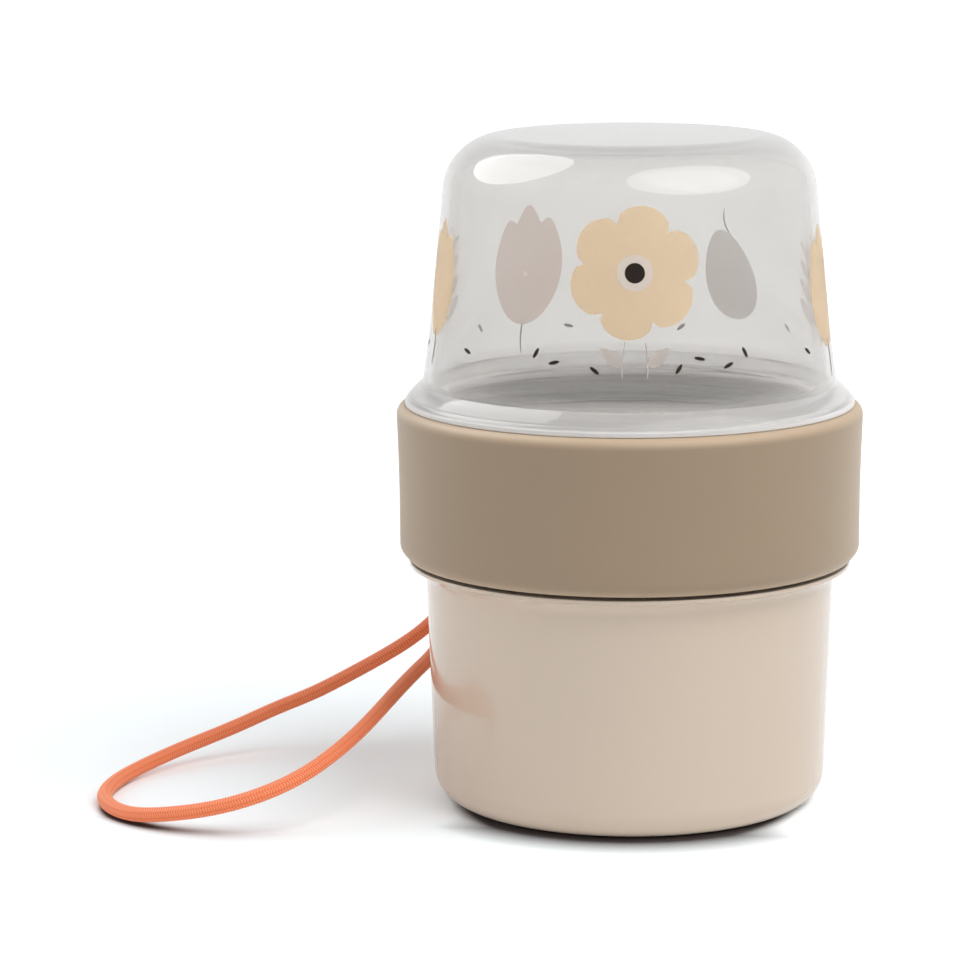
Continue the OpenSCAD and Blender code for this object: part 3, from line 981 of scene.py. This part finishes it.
class SNACK_OT_elastic(Operator):
    """Model the woven elastic loop, its two ends and their crimped ferrules"""

    bl_idname = "snack.elastic"
    bl_label = "Woven Elastic"

    def execute(self, context):
        elastic, band = context.scene.snack_elastic, context.scene.snack_band
        woven, steel = elastic_finish(elastic), ferrule_finish()
        angles = hole_angles(band)
        mouths = [Vector((math.cos(a) * band.low_r, math.sin(a) * band.low_r, HOLE_Z * MM)) for a in angles]
        route = [mouths[0]] + [Vector(p) * MM for p in ELASTIC_ROUTE] + [mouths[1]]
        line, length = along(route, elastic.rib / 4)
        loop = woven_tube("elastic_loop", line, elastic)

        ends = []
        for angle in angles:
            outward = Vector((math.cos(angle), math.sin(angle), 0))
            inner, outer = (
                outward * radius + Vector((0, 0, HOLE_Z * MM)) for radius in (FERRULE_IN_R * MM, band.low_r)
            )
            short, _ = along([inner, inner.lerp(outer, 0.5), outer], elastic.rib / 4)
            ends.append(woven_tube("elastic_end", short, elastic))
        both_ends = join("elastic_ends", ends)

        both_ferrules = join("crimped_ferrules", [self.ferrule(angle, elastic) for angle in angles])
        smooth(both_ferrules)

        finish_piece(loop, "lid", "woven_elastic", woven, "cord_loop")
        finish_piece(both_ends, "lid", "woven_elastic", woven, "cord_ends")
        finish_piece(both_ferrules, "lid", "ferrule_steel", steel, "cord_ferrules")
        [tuple(p) for p in line[::12] + [line[-1]]]
        return {"FINISHED"}

    def ferrule(self, angle, elastic):
        """A short tube on the elastic with eased edges."""
        outer = FERRULE_IN_R + in_mm(elastic, "ferrule_l")
        piece = rod("ferrule", angle, HOLE_Z, FERRULE_IN_R, outer, in_mm(elastic, "ferrule_d") / 2, 40)
        bore_r = in_mm(elastic, "diameter") / 2 + 0.02
        bore = rod("ferrule_bore", angle, HOLE_Z, FERRULE_IN_R - 1, outer + 1, bore_r, 40)
        drill(piece, [bore])
        apply_modifier(piece, "BEVEL", width=0.0002, segments=2, limit_method="ANGLE")
        return piece


def join(name, pieces):
    """Joins pieces into one under a name."""
    select_only(*pieces)
    if len(pieces) > 1:
        bpy.ops.object.join()
    pieces[0].name = pieces[0].data.name = name
    return pieces[0]


class SNACK_OT_pot(Operator):
    """Model the moulded pot with its screw neck"""

    bl_idname = "snack.pot"
    bl_label = "Pot"

    def execute(self, context):
        pot = context.scene.snack_pot
        piece = turn("moulded_pot", pot_outline(pot))
        low, high = NECK_Z - 11.6, NECK_Z - 2.6
        Thread(in_mm(pot, "neck_r"), **POT_THREAD, first_angle=0, low=low, high=high).raise_on(piece)
        smooth(piece)
        finish_piece(piece, "pot", "pot_plastic", pot_finish(pot.colour), "lower_pot")
        return {"FINISHED"}


class SNACK_OT_lid(Operator):
    """Model the two-way lid ring with both threaded sockets"""

    bl_idname = "snack.lid"
    bl_label = "Lid Ring"

    def execute(self, context):
        lid, band = context.scene.snack_lid, context.scene.snack_band
        piece = turn("lid_ring_shell", lid_outline(lid))
        for bore_r, thread, first_angle, low, high in (
            (in_mm(lid, "lower_bore_r"), POT_THREAD, 0, NECK_Z - 13.1, NECK_Z - 5.9),
            (in_mm(lid, "upper_bore_r"), CUP_THREAD, 24, LID_TOP_Z - 4.2, LID_TOP_Z - 1),
        ):
            inwards = {**thread, "height": -thread["height"]}
            Thread(bore_r, **inwards, first_angle=first_angle, low=low, high=high).raise_on(piece)
        pockets = [rod("pocket", a, HOLE_Z, 41.2, 46, POCKET_R) for a in hole_angles(band)]
        drill(piece, pockets)
        smooth(piece)
        finish_piece(piece, "lid", "lid_plastic", lid_finish(lid.colour), "lid_ring")
        return {"FINISHED"}


class SNACK_OT_band(Operator):
    """Model the silicone grip band with its two elastic holes"""

    bl_idname = "snack.band"
    bl_label = "Grip Band"

    def execute(self, context):
        band = context.scene.snack_band
        piece = turn("silicone_grip_band", band_outline(band), closed=True)
        holes = [rod("hole", a, HOLE_Z, 43, 48, HOLE_R) for a in hole_angles(band)]
        holes += [rod("relief", a, HOLE_Z, 42, 44.5, POCKET_R) for a in hole_angles(band)]
        drill(piece, holes)
        smooth(piece)
        finish_piece(piece, "lid", "band_silicone", band_finish(band.colour), "grip_band")
        return {"FINISHED"}


class SNACK_OT_gaskets(Operator):
    """Model the two flat gaskets"""

    bl_idname = "snack.gaskets"
    bl_label = "Gaskets"

    def execute(self, context):
        rings = context.scene.snack_gaskets
        white = seal_finish(rings.colour)
        low = gasket_outline(in_mm(rings, "pot_in"), in_mm(rings, "pot_out"), *span("pot_seal"))
        high = gasket_outline(in_mm(rings, "cup_in"), in_mm(rings, "cup_out"), *span("cup_seal"))
        for name, outline, body, node in (
            ("pot_gasket", low, "lower_gasket", "pot_seal"),
            ("cup_gasket", high, "upper_gasket", "cup_seal"),
        ):
            piece = turn(name, outline, closed=True)
            smooth(piece)
            finish_piece(piece, body, "seal_silicone", white, node)
        return {"FINISHED"}


class SNACK_OT_cup(Operator):
    """Model the clear cup with its threaded skirt"""

    bl_idname = "snack.cup"
    bl_label = "Clear Cup"

    def execute(self, context):
        cup = context.scene.snack_cup
        piece = turn("clear_cup_shell", cup_outline(cup))
        low, high = SKIRT_Z + 1.2, SKIRT_Z + 4.4
        Thread(in_mm(cup, "skirt_r"), **CUP_THREAD, first_angle=-18, low=low, high=high).raise_on(piece)
        smooth(piece)
        finish_piece(piece, "cup", "cup_plastic", cup_finish(cup.colour), "clear_cup")
        return {"FINISHED"}


class Decal:
    """Flat print motifs drawn in millimetres, then laid on the outside of the cup's wall."""

    def __init__(self, cup):
        outside = [p for p in cup_outside(cup) if p[1] < CUP_TOP_Z - 8]
        self.profile = sorted(outside, key=lambda p: p[1])
        self.parts = {}

    def wall_r(self, z):
        """The wall's outer radius at a height."""
        for (r0, z0), (r1, z1) in zip(self.profile, self.profile[1:]):
            if z0 <= z <= z1:
                return r0 + (r1 - r0) * (z - z0) / max(1e-9, z1 - z0)
        return self.profile[-1][0]

    def lay(self, ink, centre, angle, shape, lift=0.04):
        """Lays one flat motif on the wall: a disc whose points a shape moves to their places.
        centre is the angle round the cup in degrees and the height; angle turns the motif."""
        bpy.ops.object.select_all(action="DESELECT")
        bpy.ops.mesh.primitive_circle_add(vertices=96, radius=1, fill_type="NGON")
        piece = bpy.context.object
        bpy.ops.object.mode_set(mode="EDIT")
        bpy.ops.mesh.select_all(action="SELECT")
        insets = 5
        for _ in range(insets):
            bpy.ops.mesh.inset(thickness=0.99 / (insets + 1), use_even_offset=False)
        bpy.ops.object.mode_set(mode="OBJECT")
        turned = math.radians(angle)
        for vertex in piece.data.vertices:
            x, y = shape(vertex.co.x, vertex.co.y)
            x, y = x * math.cos(turned) - y * math.sin(turned), x * math.sin(turned) + y * math.cos(turned)
            z = centre[1] + y
            radius = self.wall_r(z) + lift
            around = math.radians(centre[0]) + x / self.wall_r(z)
            vertex.co = Vector((radius * math.cos(around), radius * math.sin(around), z)) * MM
        self.parts.setdefault(ink, []).append(piece)

    def finish(self, inks):
        """Joins each ink's shapes into one thin printed piece that rides on the cup."""
        for ink, pieces in self.parts.items():
            piece = join("print_" + ink, pieces)
            apply_modifier(piece, "SOLIDIFY", thickness=0.00003, offset=-1)
            smooth(piece)
            finish_piece(piece, "cup", "cup_plastic", print_finish("ink_" + ink, inks[ink]))


def scallops(radius, count, depth):
    """A flower head with rounded petals."""

    def shape(u, v):
        petal = 1 - depth + depth * math.sqrt(abs(math.cos(math.atan2(v, u) * count / 2)))
        return radius * petal * u, radius * petal * v

    return shape


def oval(length, width, point=0.0):
    """An oval, drawn in towards its outer end by a share."""
    return lambda u, v: (length / 2 * u, width / 2 * v * (1 - point * u))


def tulip_head(height, width):
    """A tulip head: round below, with three rounded tips above."""

    def shape(u, v):
        tips = 1 + 0.3 * abs(math.cos(1.5 * math.pi * u)) * max(0, v) - 0.12 * max(0, v)
        return width / 2 * u * (1 + 0.1 * v), height / 2 * v * tips

    return shape


def stalk(length, width, bow):
    """A thin line that bows to one side."""
    return lambda u, v: (bow * (1 - u * u) + width / 2 * v, length / 2 * u)


# The printed seeds: each one's angle round the cup, its height in millimetres and how far it leans
SEEDS = (
    (243, 95.4, 62), (248.5, 93.8, 14), (260, 92.6, -38), (283, 92.8, 55), (289, 94.6, -12),
    (297.5, 93.0, 24), (303, 95.2, -64), (188, 93.4, 40), (329, 93.6, -35), (218, 94.2, -18),
    (74, 90.2, -40), (108, 90.6, 15), (140, 91.8, 50), (35, 92.2, 45),
)


class SNACK_OT_print(Operator):
    """Lay the plant pattern on the clear cup"""

    bl_idname = "snack.print"
    bl_label = "Printed Pattern"

    def execute(self, context):
        inks = context.scene.snack_print
        decal = Decal(context.scene.snack_cup)
        self.flower(decal, (271, 111), 25.5)
        self.tulip(decal, (196, 106), 21, "cream")
        self.tulip(decal, (346, 104), 22, "cream")
        self.tulip(decal, (123, 103), 23, "blush")
        self.leaf(decal, (57, 102), 19, -14)
        self.sprig(decal, (163, 93), 20)
        self.sprig(decal, (17, 92.5), 19)
        self.sprig(decal, (91, 92), 17)
        for around, height, lean in SEEDS:
            decal.lay("seed", (around, height), lean, oval(2.2, 0.72))
        names = ("cream", "blush", "taupe", "seed", "white")
        decal.finish({name: getattr(inks, name) for name in names})
        return {"FINISHED"}

    def flower(self, decal, centre, width):
        """A round-petalled flower head over two thin stalks, with a white eye and a dark middle."""
        around, height = centre
        for side in (-1, 1):
            foot = height - width * 0.64
            decal.lay("taupe", (around + side * 3, foot), side * 4, stalk(7, 0.32, side * 0.3), 0.03)
            decal.lay("taupe", (around + side * 6.6, foot + 0.4), 90 - side * 50, oval(5, 2.2, 0.2))
        decal.lay("cream", centre, 20, scallops(width / 2, 6, 0.24))
        decal.lay("white", centre, 0, oval(width * 0.27, width * 0.27), 0.075)
        decal.lay("seed", centre, 0, oval(width * 0.15, width * 0.15), 0.11)

    def sprig(self, decal, foot, height):
        """A thin stalk with paired oval leaves."""
        decal.lay("taupe", (foot[0], foot[1] + height * 0.5), 0, stalk(height, 0.45, 0), 0.03)
        pairs = 4
        for i in range(pairs):
            size = 7.2 - 0.9 * i
            for side in (-1, 1):
                around = foot[0] + side * math.degrees(size * 0.42 / 39.5)
                y = foot[1] + height * (i + 1) / (pairs + 0.4)
                decal.lay("taupe", (around, y), 90 - side * 52, oval(size, size * 0.42, 0.2))

    def tulip(self, decal, centre, height, ink):
        """A tulip head on a stalk."""
        around, middle = centre
        decal.lay("seed", (around, middle - height * 0.6), 0, stalk(height * 0.34, 0.35, 0.5), 0.03)
        decal.lay(ink, centre, 0, tulip_head(height, height * 0.72))

    def leaf(self, decal, centre, height, lean):
        """A broad leaf with its stalk."""
        around, middle = centre
        decal.lay("seed", (around, middle + height * 0.58), lean, stalk(height * 0.3, 0.35, 0.9), 0.03)
        decal.lay("taupe", centre, 90 + lean, oval(height, height * 0.62, 0.25))


class SNACK_OT_stage(Operator):
    """Set up the plain pale floor and the soft studio light"""

    bl_idname = "snack.stage"
    bl_label = "Stage and Lights"

    def execute(self, context):
        context.scene.view_settings.view_transform = "Standard"
        self.floor()
        self.world(context.scene)
        self.sun("overhead_key", (0.52, -0.31, 0.8), 0.62, 50)
        self.sun("left_key", (-0.84, 0.14, 0.52), 0.2, 60)
        self.softbox("right_highlight", (0.49, -0.43, 0.75), 1.0, (1.36, 1.0), 3.0)
        self.softbox("left_highlight", (-0.66, 0.24, 0.72), 1.0, (1.0, 0.95), 4.8)
        return {"FINISHED"}

    def floor(self):
        """A pale matt floor. The camera sees its shade deepen close in front of what stands on it, and its
        other shadows a little lifted, those to the right the most."""
        bpy.ops.object.select_all(action="DESELECT")
        bpy.ops.mesh.primitive_plane_add(size=40)
        floor = bpy.context.object
        floor.name = "pale_floor"
        white, seen_white, lifted = (0.95, 0.95, 0.95), (0.9, 0.95, 0.975, 1), (0.3, 0.3, 0.3, 1)
        dark, dark_w = (0.07, 0.06, 0.06, 1), 0.014
        finish = Finish("pale_floor", white, Roughness=1, Specular_IOR_Level=0, Emission_Strength=1)
        seen = finish.rays("Is Camera Ray")
        open_share = finish.node("ShaderNodeAmbientOcclusion", {"samples": 16}, {"Distance": dark_w}, "AO")
        along, across = finish.axes()[:2]
        front = (across + along * 0.1).between(-0.012, -0.031)
        # Behind, the shade starts where 28% of the space above is open, and in front where 88% is
        near = (1 - (open_share * (3.6 - front * 1.2) - front * 1.12).clamped()) * seen
        pale = finish.mix_colours(seen, (*white, 1), seen_white)
        finish.feed("Base Color", finish.mix_colours(near, pale, dark))
        lift = (1 - near) * seen * (0.33 + along.between(0.02, 0.05) * 0.67)
        finish.feed("Emission Color", finish.mix_colours(lift, (0, 0, 0, 1), lifted))
        floor.data.materials.append(finish.material)

    def world(self, scene):
        """Even light from all round, white where the camera or the clear plastic looks at it."""
        scene.world = bpy.data.worlds.new("studio_world")
        sky = Tree(scene.world)
        ambient = sky.nodes["Background"]
        ambient.inputs["Color"].default_value = (1, 1, 1, 1)
        seen = sky.rays("Is Camera Ray", "Is Transmission Ray", "Is Glossy Ray")
        level = seen * (1 - AMBIENT) + AMBIENT
        sky.links.new(level.socket, ambient.inputs["Strength"])

    def sun(self, name, way, level, spread):
        """Far light from one direction: its level is the share of a facing colour that it renders."""
        data = bpy.data.lights.new(name, "SUN")
        data.energy = level * math.pi
        data.angle = math.radians(spread)
        self.aim(bpy.data.objects.new(name, data), way, 3.0).visible_glossy = False

    def softbox(self, name, way, distance, sides, radiance):
        """An oval lit panel that only reflections show, facing the object, with its sides in metres."""
        data = bpy.data.lights.new(name, "AREA")
        data.shape = "ELLIPSE"
        data.size, data.size_y = sides
        data.energy = radiance * math.pi * sides[0] * sides[1] * math.pi / 4
        light = self.aim(bpy.data.objects.new(name, data), way, distance)
        light.visible_diffuse = False
        light.visible_transmission = False

    def aim(self, light, way, distance):
        """Puts a light in a direction from the object, pointed back at it and unseen by the camera."""
        bpy.context.scene.collection.objects.link(light)
        way = Vector(way).normalized()
        light.location = Vector((0, 0, 0.1)) + way * distance
        light.rotation_euler = way.to_track_quat("Z", "Y").to_euler()
        light.visible_camera = False
        return light


STEPS = (
    SNACK_OT_camera, SNACK_OT_elastic, SNACK_OT_pot, SNACK_OT_lid, SNACK_OT_band, SNACK_OT_gaskets,
    SNACK_OT_cup, SNACK_OT_print, SNACK_OT_stage,
)


class SNACK_PT_panel(Panel):
    """Lists the container's pieces and their settings"""

    bl_idname = "SNACK_PT_panel"
    bl_label = "Snack Container"
    bl_space_type = "VIEW_3D"
    bl_region_type = "UI"
    bl_category = "Snack"

    def draw(self, context):
        for step in STEPS:
            self.layout.operator(step.bl_idname)
        for name in SETTINGS:
            settings = getattr(context.scene, name)
            box = self.layout.box()
            box.label(text=settings.bl_rna.description)
            for prop in settings.__annotations__:
                box.prop(settings, prop)


def register():
    for settings in SETTINGS.values():
        bpy.utils.register_class(settings)
    for name, settings in SETTINGS.items():
        setattr(bpy.types.Scene, name, PointerProperty(type=settings))
    for step in STEPS + (SNACK_PT_panel,):
        bpy.utils.register_class(step)


def unregister():
    for step in reversed(STEPS + (SNACK_PT_panel,)):
        bpy.utils.unregister_class(step)
    for name in SETTINGS:
        delattr(bpy.types.Scene, name)
    for settings in reversed(SETTINGS.values()):
        bpy.utils.unregister_class(settings)


def main():
    register()
    bpy.ops.snack.camera()
    bpy.ops.snack.elastic()
    bpy.ops.snack.pot()
    bpy.ops.snack.lid()
    bpy.ops.snack.band()
    bpy.ops.snack.gaskets()
    bpy.ops.snack.cup()
    bpy.ops.snack.print()
    bpy.ops.snack.stage()


if __name__ == "__main__":
    main()
